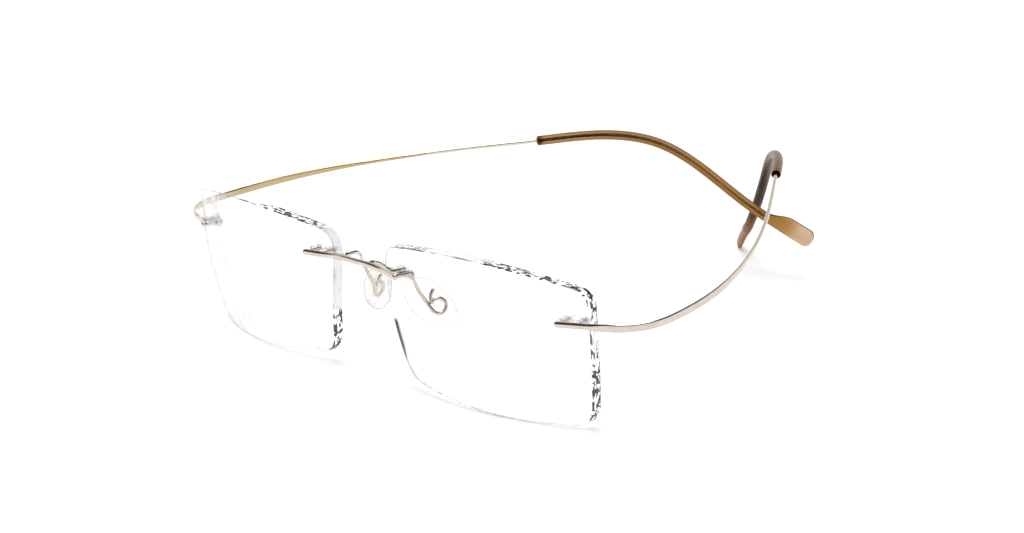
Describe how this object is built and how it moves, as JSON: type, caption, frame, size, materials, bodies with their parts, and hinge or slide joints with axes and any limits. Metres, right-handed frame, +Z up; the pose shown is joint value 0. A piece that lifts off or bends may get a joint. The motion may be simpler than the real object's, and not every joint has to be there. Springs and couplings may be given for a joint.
{
  "type": "eyeglasses",
  "caption": "Rimless hingeless eyeglasses with clear curved lenses, titanium bridge and springy temples, brown bent tips and clear nose pads.",
  "frame": {"origin": "on the table, under the middle of the resting glasses", "axes": "+X to the wearer's left, +Y from the lenses towards the ears, +Z up"},
  "size_m": [0.1412, 0.103, 0.0294],
  "materials": {
    "titanium": "satin champagne titanium",
    "lens_plastic": "clear, with polished edges",
    "sleeve_plastic": "clear moulded plastic",
    "pad_silicone": "clear soft silicone",
    "brown_tip": "translucent brown, satin"
  },
  "bodies": {
    "front": {"left_lens": "lens_plastic", "right_lens": "lens_plastic", "bridge_bar": "titanium", "left_bridge_sleeve": "sleeve_plastic", "right_bridge_sleeve": "sleeve_plastic", "left_bridge_post_inner": "titanium", "left_bridge_post_outer": "titanium", "right_bridge_post_inner": "titanium", "right_bridge_post_outer": "titanium", "left_end_bar": "titanium", "right_end_bar": "titanium", "left_end_sleeve": "sleeve_plastic", "right_end_sleeve": "sleeve_plastic", "left_end_post_inner": "titanium", "left_end_post_outer": "titanium", "right_end_post_inner": "titanium", "right_end_post_outer": "titanium", "left_pad_arm": "titanium", "right_pad_arm": "titanium"},
    "left_side": {"left_temple": "titanium", "left_temple_tip": "brown_tip"},
    "right_side": {"right_temple": "titanium", "right_temple_tip": "brown_tip"},
    "left_pad": {"left_nose_pad": "pad_silicone"},
    "right_pad": {"right_nose_pad": "pad_silicone"}
  },
  "joints": [
    {"name": "left_temple_flex", "type": "hinge", "parent": "front", "child": "left_side", "pos_m": [0.0696, -0.03804, 0.01965], "axis": [0, 0, -1], "range_deg": [-4, 40], "stiffness_Nm_per_rad": 0.05},
    {"name": "right_temple_flex", "type": "hinge", "parent": "front", "child": "right_side", "pos_m": [-0.0696, -0.03804, 0.01965], "axis": [0, 0, 1], "range_deg": [-3, 30], "stiffness_Nm_per_rad": 0.05},
    {"name": "left_pad_rock", "type": "hinge", "parent": "front", "child": "left_pad", "pos_m": [0.00931, -0.03869, 0.01263], "axis": [0.4765, 0.502, -0.7218], "range_deg": [-5, 5], "stiffness_Nm_per_rad": 0.002},
    {"name": "right_pad_rock", "type": "hinge", "parent": "front", "child": "right_pad", "pos_m": [-0.00931, -0.03869, 0.01263], "axis": [0.4765, -0.502, 0.7218], "range_deg": [-5, 5], "stiffness_Nm_per_rad": 0.002}
  ],
  "couplings": [
    {"joint": "right_temple_flex", "follows": "left_temple_flex", "ratio": 0.75}
  ]
}
